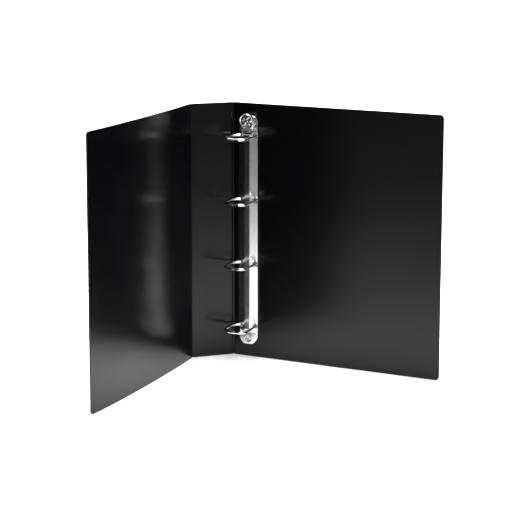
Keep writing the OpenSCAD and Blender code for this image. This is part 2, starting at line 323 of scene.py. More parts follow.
@dataclass(frozen=True)
class PlatedSteel:
    """Nickel-plated steel, from mirror-bright wire to a dull rolled strip."""

    name: str
    bright: Point
    dull: Point
    roughness: float
    brushing: Point
    brush_height: float
    dimple_height: float = 0.0

    def build(self) -> bpy.types.Material:
        """Returns the finished material."""
        g = Graph(self.name)
        lines = g.noise(1.0, 3.0, g.stretched(self.brushing))
        cloud = g.noise(170.0, 3.0)
        spots = g.cells(1900.0).smoothstep(0.02, 0.30)
        edge = g.attribute("edge")
        smear = g.noise(60.0, 2.0).smoothstep(0.52, 0.74)
        colour = g.mix_colour(0.55 * cloud + 0.25 * smear + 0.2 * edge, self.bright, self.dull)
        rough = (
            self.roughness
            + 0.10 * (lines - 0.5)
            + 0.06 * smear
            + 0.05 * (1 - spots)
            + 0.06 * edge
        )
        height = self.brush_height * lines + self.dimple_height * cloud
        return g.surface(
            {"Base Color": colour, "Roughness": rough, "Normal": g.bump(height)},
            {"Metallic": 1.0},
        )


@dataclass(frozen=True)
class StudioPaper:
    """Pale matt paper under the binder, with a little tooth."""

    name: str = "studio_paper"
    pale: Point = (0.86, 0.86, 0.86)
    paler: Point = (0.90, 0.90, 0.90)

    def build(self) -> bpy.types.Material:
        """Returns the finished material."""
        g = Graph(self.name)
        colour = g.mix_colour(g.noise(3.0, 3.0), self.pale, self.paler)
        tooth = 0.02 * MM * g.noise(1800.0, 2.0)
        return g.surface(
            {"Base Color": colour, "Normal": g.bump(tooth)},
            {"Roughness": 0.9, "Specular IOR Level": 0.2},
        )


class Finish(Enum):
    """The binder's finishes, each with the record's slot that it stands for."""

    SHEET = "cover_sheet"
    PLATE = "plate_nickel"
    WIRE = "ring_chrome"
    RAIL = "rail_steel"
    RIVET = "rivet_steel"


def finish_table() -> dict[Finish, bpy.types.Material]:
    """Builds every finish of the binder once."""
    table = {
        Finish.SHEET: SheetPlastic(),
        Finish.PLATE: PlatedSteel(
            "plate_nickel_steel", (0.86, 0.86, 0.85), (0.74, 0.74, 0.73), 0.17,
            (1500.0, 1500.0, 24.0), 0.0022 * MM, 0.004 * MM,
        ),
        Finish.WIRE: PlatedSteel(
            "ring_wire_nickel", (0.90, 0.90, 0.89), (0.80, 0.80, 0.79), 0.08,
            (900.0, 900.0, 2600.0), 0.0008 * MM,
        ),
        Finish.RAIL: PlatedSteel(
            "rail_strip_steel", (0.42, 0.42, 0.41), (0.30, 0.30, 0.30), 0.38,
            (2200.0, 2200.0, 30.0), 0.003 * MM, 0.004 * MM,
        ),
        Finish.RIVET: PlatedSteel(
            "rivet_nickel_steel", (0.82, 0.82, 0.80), (0.66, 0.66, 0.64), 0.20,
            (700.0, 700.0, 700.0), 0.003 * MM, 0.006 * MM,
        ),
    }
    return {finish: maker.build() for finish, maker in table.items()}


# --------------------------------------------------------------------- mesh building


def ease(value: float, low: float, high: float) -> float:
    """Rises smoothly from 0 at low to 1 at high.

    Args:
        value: The number to ease.
        low: Where the result leaves 0.
        high: Where the result reaches 1.

    Returns:
        A number from 0 to 1.
    """
    share = min(1.0, max(0.0, (value - low) / (high - low)))
    return share * share * (3.0 - 2.0 * share)


def spread(low: float, high: float, count: int) -> list[float]:
    """Evenly spaced numbers from low to high, both included."""
    return [low + (high - low) * i / (count - 1) for i in range(count)]


def merged(values: Iterable[float], gap: float) -> list[float]:
    """Sorted numbers with near-equal neighbours merged.

    Args:
        values: The numbers in any order.
        gap: The least distance kept between neighbours.

    Returns:
        The sorted numbers.
    """
    kept: list[float] = []
    for value in sorted(values):
        if not kept or value - kept[-1] > gap:
            kept.append(value)
    return kept


def with_cuts(places: Iterable[float], cuts: Sequence[float], clear: float) -> list[float]:
    """Places with every cut's own place among them.

    Args:
        places: The numbers in any order.
        cuts: Numbers that are kept as they are.
        clear: Places nearer than this to a cut are left out.

    Returns:
        The sorted numbers.
    """
    free = [place for place in places if all(abs(place - cut) > clear for cut in cuts)]
    return merged([*free, *cuts], 0.05 * MM)


def new_object(name: str, points: Sequence[Point], faces: Sequence[Face]) -> bpy.types.Object:
    """Makes a mesh object with outward normals.

    Args:
        name: The piece's name.
        points: Its vertices, in metres.
        faces: Its faces as vertex numbers.

    Returns:
        The linked object.
    """
    mesh = bpy.data.meshes.new(name)
    mesh.from_pydata([tuple(p) for p in points], [], [tuple(f) for f in faces])
    work = bmesh.new()
    work.from_mesh(mesh)
    bmesh.ops.remove_doubles(work, verts=work.verts, dist=1e-7)
    bmesh.ops.recalc_face_normals(work, faces=work.faces)
    work.to_mesh(mesh)
    work.free()
    made = bpy.data.objects.new(name, mesh)
    bpy.context.scene.collection.objects.link(made)
    return made


def bake_modifiers(piece: bpy.types.Object) -> None:
    """Replaces a piece's mesh by its mesh with every modifier applied."""
    bpy.context.view_layer.update()
    shaped = piece.evaluated_get(bpy.context.evaluated_depsgraph_get())
    mesh = bpy.data.meshes.new_from_object(shaped)
    piece.modifiers.clear()
    piece.data = mesh


def soften_edges(piece: bpy.types.Object, width: float, segments: int = 2) -> None:
    """Rounds a piece's sharp edges for good.

    Args:
        piece: The mesh object.
        width: The rounding's width, in metres.
        segments: Steps across each rounded edge.
    """
    bevel = piece.modifiers.new("soften", "BEVEL")
    bevel.width = width
    bevel.segments = segments
    bevel.limit_method = "ANGLE"
    bevel.angle_limit = math.radians(38.0)
    bake_modifiers(piece)


def shade(piece: bpy.types.Object, angle: float = 40.0) -> None:
    """Shades a piece smooth, but sharp where its faces turn by more than the angle."""
    for polygon in piece.data.polygons:
        polygon.use_smooth = True
    piece.data.set_sharp_from_angle(angle=math.radians(angle))


def store(piece: bpy.types.Object, name: str, level: Callable[[Vector], float]) -> None:
    """Stores a number on every vertex.

    Args:
        piece: The mesh object.
        name: The attribute's name.
        level: Gives the number from a vertex's position.
    """
    layer = piece.data.attributes.new(name, "FLOAT", "POINT")
    for vertex, item in zip(piece.data.vertices, layer.data):
        item.value = level(vertex.co)


def finish_plain(piece: bpy.types.Object, angle: float = 40.0) -> None:
    """Shades a piece and marks all of it as unworn."""
    shade(piece, angle)
    store(piece, "edge", lambda spot: 0.0)


def grid_faces(rows: int, columns: int, around: bool = False) -> list[Face]:
    """Faces of a grid of points stored row by row.

    Args:
        rows: Number of rows.
        columns: Points in a row.
        around: Whether each row closes on itself.

    Returns:
        Four-sided faces.
    """
    faces = []
    for r in range(rows - 1):
        for c in range(columns if around else columns - 1):
            right = (c + 1) % columns
            faces.append((r * columns + c, r * columns + right,
                          (r + 1) * columns + right, (r + 1) * columns + c))
    return faces


def closed_grid(rows: int, columns: int) -> list[Face]:
    """Faces of a grid whose rows close on themselves, with both of its ends capped."""
    ends = (0, (rows - 1) * columns)
    return grid_faces(rows, columns, around=True) + [tuple(range(i, i + columns)) for i in ends]


def tube(name: str, path: Sequence[Vector], side: Vector, radii: Sequence[float],
         sides: int = 24) -> bpy.types.Object:
    """Sweeps a round wire along a path that lies in one plane.

    Args:
        name: The piece's name.
        path: The wire's middle line.
        side: The direction square to the path's plane.
        radii: The wire's radius at each point of the path.
        sides: Points around the wire.

    Returns:
        The closed wire.
    """
    points: list[Vector] = []
    for i, centre in enumerate(path):
        along = (path[min(i + 1, len(path) - 1)] - path[max(i - 1, 0)]).normalized()
        across = side.cross(along).normalized()
        for k in range(sides):
            turn = 2.0 * math.pi * k / sides
            points.append(centre + radii[i] * (math.cos(turn) * across + math.sin(turn) * side))
    return new_object(name, points, closed_grid(len(path), sides))


def lathe(name: str, profile: Sequence[Flat], origin: Vector, axis: Vector,
          sides: int = 64) -> bpy.types.Object:
    """Turns a profile about an axis.

    Args:
        name: The piece's name.
        profile: Radius and height pairs, from one end of the axis to the other.
        origin: Where height 0 lies on the axis.
        axis: The axis's direction.
        sides: Steps around.

    Returns:
        The turned piece.
    """
    axis = axis.normalized()
    first = axis.orthogonal().normalized()
    second = axis.cross(first)
    points: list[Vector] = []
    for radius, height in profile:
        for k in range(sides):
            turn = 2.0 * math.pi * k / sides
            way = math.cos(turn) * first + math.sin(turn) * second
            points.append(origin + radius * way + height * axis)
    faces = grid_faces(len(profile), sides, around=True)
    for row in (0, len(profile) - 1):
        if profile[row][0] > 0.0:
            faces.append(tuple(range(row * sides, (row + 1) * sides)))
    return new_object(name, points, faces)


def turned_ring(name: str, profile: Sequence[Flat], origin: Vector,
                axis: Vector) -> bpy.types.Object:
    """Turns a closed profile that keeps clear of its axis, and finishes it plain.

    Args:
        name: The piece's name.
        profile: Radius and height pairs, the last one the same as the first.
        origin: Where height 0 lies on the axis.
        axis: The axis's direction.

    Returns:
        The ring, open in its middle.
    """
    piece = lathe(name, profile, origin, axis, 48)
    work = bmesh.new()
    work.from_mesh(piece.data)
    caps = [f for f in work.faces if len(f.verts) > 8]
    bmesh.ops.delete(work, geom=caps, context="FACES_ONLY")
    bmesh.ops.recalc_face_normals(work, faces=work.faces)
    work.to_mesh(piece.data)
    work.free()
    finish_plain(piece)
    return piece


def slab(name: str, outline: Sequence[Vector], opposite: Sequence[Vector],
         rounding: float) -> bpy.types.Object:
    """Joins two matching outlines into one closed slab, and finishes it plain.

    Args:
        name: The piece's name.
        outline: The corners of one face, in order.
        opposite: The same corners on the other face.
        rounding: The width of its rounded edges.

    Returns:
        The slab.
    """
    count = len(outline)
    faces: list[Face] = [tuple(range(count)), tuple(range(count, 2 * count))]
    for i in range(count):
        j = (i + 1) % count
        faces.append((i, j, j + count, i + count))
    piece = new_object(name, [*outline, *opposite], faces)
    soften_edges(piece, rounding)
    finish_plain(piece)
    return piece


def rounded_corner(centre: Flat, radius: float, start: float, stop: float,
                   steps: int = 5) -> list[Flat]:
    """Points along an arc, from one angle to another in degrees, about a centre."""
    turns = [math.radians(angle) for angle in spread(start, stop, steps)]
    return [(centre[0] + radius * math.cos(a), centre[1] + radius * math.sin(a)) for a in turns]


def dress(piece: bpy.types.Object, materials: dict[Finish, bpy.types.Material], body: str,
          finish: Finish, *replaced: str) -> bpy.types.Object:
    """Gives a piece its finish and the body that it rides on.

    Args:
        piece: The mesh object.
        materials: The material of each finish.
        body: The CAD body that carries it.
        finish: Its finish.
        replaced: The CAD nodes that it stands for.

    Returns:
        The piece.
    """
    piece.data.materials.clear()
    piece.data.materials.append(materials[finish])
    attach(piece, body)
    if replaced:
        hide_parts(*replaced)
    return piece


# ----------------------------------------------------------------------- the cover


@dataclass
class CoverSheet:
    """The folding cover: two bowed or flat covers and a spine between pressed folds.

    A ripple is its height as a share of the wave's, its turns in radians per metre along
    the sheet and up it, and its phase.
    """

    materials: dict[Finish, bpy.types.Material]
    front_angle: float = 96.0
    front_bow: float = 6.8
    corner: float = 5.0 * MM
    coin: float = 3.0 * MM
    web_half: float = 0.34 * MM
    panel_start: float = 0.9 * MM
    edge_round: float = 0.32 * MM
    edge_rubbed: float = 0.9 * MM
    wave: float = 0.14 * MM
    wave_fade: float = 60.0 * MM
    ripples: tuple[tuple[float, float, float, float], ...] = (
        (1.0, 31.0, 17.0, 0.6), (0.6, -22.0, 47.0, 0.0),
    )
    run_step: float = 5.0 * MM
    fold_runs: tuple[float, ...] = tuple(r * MM for r in (1.2, 1.6, 2.1, 2.6, 3.0, 3.6))
    fold_reach: float = 4.0 * MM
    rim_rises: Flat = (0.5 * MM, 1.0 * MM)
    web_reach: float = 1.9 * MM
    web_dip: float = 0.25
    web_hold: float = 0.8
    rear: Vector = field(init=False)
    front: Vector = field(init=False)
    height: float = field(init=False)
    thickness: float = field(init=False)
    width: float = field(init=False)

    def __post_init__(self) -> None:
        """Takes the fold lines and the sheet's sizes from the frame."""
        places = {joint["name"]: Vector(joint["pos_m"]) for joint in frame["joints"]}
        low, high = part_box("back_cover")
        self.rear = places["spine_fold"]
        self.front = places["front_fold"]
        self.height = high.z - low.z
        self.thickness = high.y - low.y
        self.width = high.x - self.rear.x

    @property
    def spine_heading(self) -> Vector:
        """The way from the rear fold to the front fold."""
        return (self.front - self.rear).normalized()

    def half_thickness(self, from_fold: float) -> float:
        """Half the sheet's thickness at a distance from a fold."""
        share = ease(from_fold, 0.2 * self.coin, self.coin)
        return self.web_half + (self.thickness / 2 - self.web_half) * share

    def bowed(self, run: float, bow: float) -> tuple[float, float, float]:
        """Where a run along a bowed panel ends.

        Args:
            run: Distance along the sheet from the fold.
            bow: The panel's whole bow, in radians.

        Returns:
            Distance along the heading, offset to the inside, and the turn there.
        """
        if bow <= 0.0 or run <= self.coin:
            return run, 0.0, 0.0
        radius = (self.width - self.coin) / bow
        turn = (run - self.coin) / radius
        return self.coin + radius * math.sin(turn), -radius * (1.0 - math.cos(turn)), turn

    def panel(self, name: str, node: str, body: str, origin: Vector, heading: Vector,
              length: float, two_folds: bool, bow: float, calm: float) -> bpy.types.Object:
        """Makes one panel of the cover, thinned at its folds and rounded at its edges.

        Args:
            name: The piece's name.
            node: The CAD node that it stands for.
            body: The body that carries it.
            origin: The fold line's foot.
            heading: The way along the panel at the fold.
            length: The panel's length along the sheet.
            two_folds: Whether the far edge is a fold as well.
            bow: The panel's whole bow, in radians.
            calm: Distance from the fold within which the sheet is held flat.

        Returns:
            The dressed panel.
        """
        near = [self.panel_start, *self.fold_runs]
        count = max(8, round(length / self.run_step))
        runs = near + spread(self.run_step, length - self.corner, count)
        if two_folds:
            runs = [r for r in runs if r < length - self.fold_reach] + [length - r for r in near]
        else:
            turns = [math.radians(angle) for angle in spread(9, 90, 10)]
            runs += [length - self.corner * (1.0 - math.sin(a)) for a in turns]
        runs = merged(runs, 0.05 * MM)
        rim = [rise / self.height for rise in self.rim_rises]
        levels = merged(spread(0.0, 1.0, 61) + rim + [1.0 - share for share in rim], 0.0005)
        inward = Vector((-heading.y, heading.x, 0.0))

        def surface_point(run: float, share: float, side: int) -> Vector:
            """A point of the inner (1) or outer (-1) face at a share of the height."""
            along, offset, turn = self.bowed(run, bow)
            fold_gap = min(run, length - run) if two_folds else run
            rounding = 0.0
            if not two_folds and run > length - self.corner:
                over = run - (length - self.corner)
                rounding = self.corner - math.sqrt(max(0.0, self.corner**2 - over**2))
            z = rounding + share * (self.height - 2.0 * rounding)
            held = ease(run, calm, calm + self.wave_fade)
            if two_folds:
                held *= ease(length - run, calm, calm + self.wave_fade / 2)
            ripple = self.wave * held * sum(
                share_of_wave * math.sin(along_turns * run + up_turns * z + phase)
                for share_of_wave, along_turns, up_turns, phase in self.ripples
            )
            off = offset + ripple + side * self.half_thickness(fold_gap) * math.cos(turn)
            forward = along + side * self.half_thickness(fold_gap) * math.sin(turn)
            return origin + forward * heading + off * inward + Vector((0.0, 0.0, z))

        columns = len(levels)
        points = [surface_point(r, s, side) for side in (1, -1) for r in runs for s in levels]
        sheet = len(runs) * columns
        faces = grid_faces(len(runs), columns)
        faces += [tuple(i + sheet for i in face) for face in grid_faces(len(runs), columns)]
        last = (len(runs) - 1) * columns
        for c in range(columns - 1):
            for row in (0, last):
                faces.append((row + c, row + c + 1, row + c + 1 + sheet, row + c + sheet))
        for r in range(len(runs) - 1):
            for c in (0, columns - 1):
                a, b = r * columns + c, (r + 1) * columns + c
                faces.append((a, b, b + sheet, a + sheet))
        piece = new_object(name, points, faces)
        soften_edges(piece, self.edge_round, 3)
        shade(piece, 50.0)
        reach = self.bowed(length, bow)[0]

        def rubbed(spot: Vector) -> float:
            """How near a vertex is to the panel's free edges, 1 on the edge."""
            gaps = [spot.z, self.height - spot.z]
            if not two_folds:
                gaps.append(reach - (spot - origin).dot(heading))
            return 1.0 - ease(min(gaps), 0.1 * MM, self.edge_rubbed)

        store(piece, "edge", rubbed)
        return dress(piece, self.materials, body, Finish.SHEET, node)

    def fold(self, name: str, node: str, origin: Vector, before: Vector, after: Vector) -> bpy.types.Object:
        """Makes the thin web that joins two panels.

        Args:
            name: The piece's name.
            node: The CAD node that it stands for.
            origin: The fold line's foot.
            before: The way from the fold into the first panel.
            after: The way from the fold into the second panel.

        Returns:
            The dressed web.
        """
        reach = self.web_reach
        lift = self.edge_round
        steps = spread(0.0, 1.0, 17)
        levels = spread(lift, self.height - lift, 41)
        points: list[Vector] = []
        for level in levels:
            for side in (1, -1):
                for t in steps[::side]:
                    centre = (1 - t) ** 2 * reach * before + t**2 * reach * after
                    tangent = (-2 * (1 - t) * before + 2 * t * after).normalized()
                    normal = Vector((-tangent.y, tangent.x, 0.0))
                    dip = 1.0 - self.web_dip * (1.0 - (2 * t - 1) ** 2)
                    points.append(origin + centre + side * dip * self.web_half * normal
                                  + Vector((0.0, 0.0, level)))
        piece = new_object(name, points, closed_grid(len(levels), 2 * len(steps)))
        finish_plain(piece, 50.0)
        piece.data.materials.append(self.materials[Finish.SHEET])
        tuple(origin + self.web_hold * reach * before)
        tuple(origin + self.web_hold * reach * after)
        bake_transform(piece)
        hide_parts(node)
        return piece

    def build(self) -> list[bpy.types.Object]:
        """Makes the three panels and the two folds."""
        back_heading = Vector((1.0, 0.0, 0.0))
        spine_heading = self.spine_heading
        bow = math.radians(self.front_bow)
        turn = math.radians(180.0 + self.front_angle) + bow / 2
        front_heading = Vector((math.cos(turn), math.sin(turn), 0.0))
        spine_length = (self.front - self.rear).length
        return [
            self.panel("back_cover_sheet", "back_cover", "back_cover", self.rear, back_heading,
                       self.width, False, 0.0, 45.0 * MM),
            self.panel("spine_sheet", "spine_panel", "spine", self.rear, spine_heading,
                       spine_length, True, 0.0, 4.0 * MM),
            self.panel("front_cover_sheet", "front_cover", "front_cover", self.front,
                       front_heading, self.width, False, bow, 6.0 * MM),
            self.fold("rear_fold_web", "rear_hinge_web", self.rear, back_heading,
                      spine_heading),
            self.fold("front_fold_web", "front_hinge_web", self.front, -spine_heading,
                      front_heading),
        ]


# ----------------------------------------------------------------- the ring mechanism


@dataclass
class MechanismAxes:
    """The mechanism's own axes: across from its middle line, off the cover, and up."""

    middle: float = field(init=False)
    face: float = field(init=False)

    def __post_init__(self) -> None:
        """Takes the middle line and the cover's inner face from the frame."""
        low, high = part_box("cover_plate")
        self.middle = (low.x + high.x) / 2
        self.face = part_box("back_cover")[0].y

    def at(self, across: float, off: float, up: float) -> Vector:
        """A point of the frame from a point in the mechanism's axes, in metres."""
        return Vector((self.middle + across, self.face - off, up))

    def way(self, across: float, off: float, up: float) -> Vector:
        """A direction of the frame from one in the mechanism's axes."""
        return Vector((across, -off, up))


@dataclass
class MechanismPart:
    """A part of the mechanism, drawn in the mechanism's axes."""

    axes: MechanismAxes
    materials: dict[Finish, bpy.types.Material]


@dataclass
class ArchedPlate(MechanismPart):
    """The pressed cover plate: an arch with ring slots, a trigger window and dished ends."""

    ring_levels: list[float]
    crown: float = 6.2 * MM
    crown_half: float = 3.7 * MM
    side: float = 3.0 * MM
    tab: float = 3.2 * MM
    steel: float = 0.7 * MM
    shoulder: float = 1.1 * MM
    crease_depth: float = 0.0875 * MM
    crease_reach: float = 0.9 * MM
    ramp: float = 4.0 * MM
    taper: float = 10.0 * MM
    taper_power: float = 0.9
    tip_half: float = 6.35 * MM
    top_corner: float = 8.0 * MM
    dish_radius: float = 4.6 * MM
    dish_floor: float = 0.8 * MM
    dish_flat: float = 2.9 * MM
    lip_radius: float = 4.9 * MM
    lip_height: float = 0.12 * MM
    lip_reach: float = 0.5 * MM
    slot_half: float = 2.5 * MM
    slot_right: float = 7.3 * MM
    slot_left: float = -6.7 * MM
    slot_height: float = 2.2 * MM
    window_half: float = 6.2 * MM
    row_counts: tuple[int, ...] = (36, 14, 110, 62)
    corner_rows: tuple[float, ...] = (55.0, 66.0, 75.0, 82.0, 87.0)
    column_count: int = 55
    window: Flat = field(init=False)
    ramps: Flat = field(init=False)
    low: float = field(init=False)
    high: float = field(init=False)
    half: float = field(init=False)
    rivets: list[float] = field(init=False)

    def __post_init__(self) -> None:
        """Takes the plate's length and its features' places from the frame."""
        low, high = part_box("cover_plate")
        rail_low, rail_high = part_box("left_rail")
        pin_low, pin_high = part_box("trigger_pin")
        self.low = low.z
        self.high = high.z
        self.half = (high.x - low.x) / 2
        self.ramps = (rail_low.z - 0.4 * MM, rail_high.z + 2.4 * MM)
        self.window = (rail_high.z - 2.8 * MM, (pin_low.z + pin_high.z) / 2 + 3.0 * MM)
        self.rivets = []
        for node in ("bottom_rivet", "top_rivet"):
            corner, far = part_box(node)
            self.rivets.append((corner.z + far.z) / 2)

    def half_width(self, up: float) -> float:
        """Half the plate's width at a level, with its lower taper and upper corners."""
        if up < self.low + self.taper:
            share = math.sin((up - self.low) / self.taper * math.pi / 2) ** self.taper_power
            return self.tip_half + (self.half - self.tip_half) * share
        over = up - (self.high - self.top_corner)
        if over > 0.0:
            return self.half - self.top_corner + math.sqrt(max(0.0, self.top_corner**2 - over**2))
        return self.half

    def arch(self, across: float, up: float) -> float:
        """Height of the plate's outer face off the cover; the ramps end at their levels."""
        risen, fallen = (ease(up, level - self.ramp, level) for level in self.ramps)
        arched = risen * (1.0 - fallen)
        crest = self.tab + (self.crown - self.tab) * arched
        slope = (self.crown - self.side) / (self.half - self.crown_half)
        fall = max(0.0, abs(across) - self.crown_half) * slope * arched
        from_crease = (abs(across) - self.crown_half) / self.crease_reach
        return crest - fall - self.crease_depth * arched * math.exp(-from_crease**2)

    def dished(self, height: float, across: float, up: float) -> float:
        """The height after the rivets' dishes are pressed in."""
        for level in self.rivets:
            radius = math.hypot(across, up - level)
            share = 1.0 - ease(radius, self.dish_flat, self.dish_radius)
            height = height * (1.0 - share) + self.dish_floor * share
            height += self.lip_height * math.exp(-((radius - self.lip_radius) / self.lip_reach) ** 2)
        return height

    def rows(self) -> list[float]:
        """The levels at which the plate's section is drawn, closest at its two ends."""
        stops = (self.low, self.low + 14.0 * MM, self.ramps[0] + 1.4 * MM,
                 self.ramps[1] - 6.8 * MM, self.high - 0.3 * MM)
        levels: list[float] = []
        for start, stop, count in zip(stops, stops[1:], self.row_counts):
            levels += spread(start, stop, count)
        turns = [math.radians(angle) for angle in self.corner_rows]
        levels += [self.high - self.top_corner * (1 - math.sin(a)) for a in turns]
        cuts = list(self.window)
        for level in self.ring_levels:
            cuts += [level - self.slot_half, level + self.slot_half]
        return with_cuts(levels, cuts, 0.3 * MM)

    def columns(self) -> list[float]:
        """Places across the plate, as distances from its middle line at full width."""
        inner = self.half - self.shoulder
        cuts = [self.slot_right, self.slot_left, -self.window_half, self.window_half]
        return with_cuts(spread(-inner, inner, self.column_count), cuts, 0.2 * MM)

    def build(self) -> bpy.types.Object:
        """Makes the plate from its sections and cuts its slots and window."""
        columns = self.columns()
        inner = self.half - self.shoulder
        levels = self.rows()
        side_steps = [0.02 * MM, 1.1 * MM, self.slot_height]
        corner_turns = [math.radians(angle) for angle in spread(0.0, 90.0, 6)[1:-1]]
        points: list[Vector] = []
        for up in levels:
            half = self.half_width(up)
            edge_rise = self.arch(self.half, up) - self.slot_height
            wall = [(half, step) for step in side_steps]
            wall += [(half - self.shoulder * (1 - math.cos(a)),
                      self.slot_height + edge_rise * math.sin(a)) for a in corner_turns]
            points += [self.axes.at(-v, n, up) for v, n in wall]
            for place in columns:
                across = place * (half - self.shoulder) / inner
                points.append(self.axes.at(across, self.dished(self.arch(across, up), across, up), up))
            points += [self.axes.at(v, n, up) for v, n in reversed(wall)]
        margin = len(side_steps) + len(corner_turns)
        width = len(columns) + 2 * margin
        faces = []
        for face in grid_faces(len(levels), width):
            row, column = divmod(face[0], width)
            up = (levels[row] + levels[row + 1]) / 2
            if not self._is_cut(column, margin, columns, up, len(side_steps)):
                faces.append(face)
        for row in (0, len(levels) - 1):
            faces += self._end_wall(points, row * width, width)
        piece = new_object("arched_cover_plate", points, faces)
        thicken = piece.modifiers.new("steel", "SOLIDIFY")
        thicken.thickness = self.steel
        thicken.offset = -1.0
        bake_modifiers(piece)
        soften_edges(piece, 0.12 * MM)
        finish_plain(piece, 35.0)
        return dress(piece, self.materials, "back_cover", Finish.PLATE, "cover_plate")

    def _is_cut(self, column: int, margin: int, columns: list[float], up: float,
                walls: int) -> bool:
        """Whether a face is inside a slot or the window.

        Args:
            column: The column at which the face starts.
            margin: How many columns of a row are in each side wall and its shoulder.
            columns: The places across the plate between the two margins.
            up: The level of the face's middle.
            walls: How many columns of each margin are in the straight wall.

        Returns:
            True if the face is left out.
        """
        in_slot = any(abs(up - level) < self.slot_half for level in self.ring_levels)
        in_window = self.window[0] < up < self.window[1]
        if column < margin or column >= margin + len(columns) - 1:
            from_edge = column if column < margin else 2 * margin + len(columns) - 2 - column
            return in_slot and from_edge >= walls - 1
        middle = (columns[column - margin] + columns[column - margin + 1]) / 2
        if in_slot and (middle > self.slot_right or middle < self.slot_left):
            return True
        return in_window and abs(middle) < self.window_half

    def _end_wall(self, points: list[Vector], first: int, width: int) -> list[Face]:
        """Closes one end of the plate down to the cover, adding the wall's foot points."""
        base = len(points)
        for i in range(width):
            top = points[first + i]
            points.append(Vector((top.x, self.axes.face - 0.02 * MM, top.z)))
        return [(first + i, first + i + 1, base + i + 1, base + i) for i in range(width - 1)]


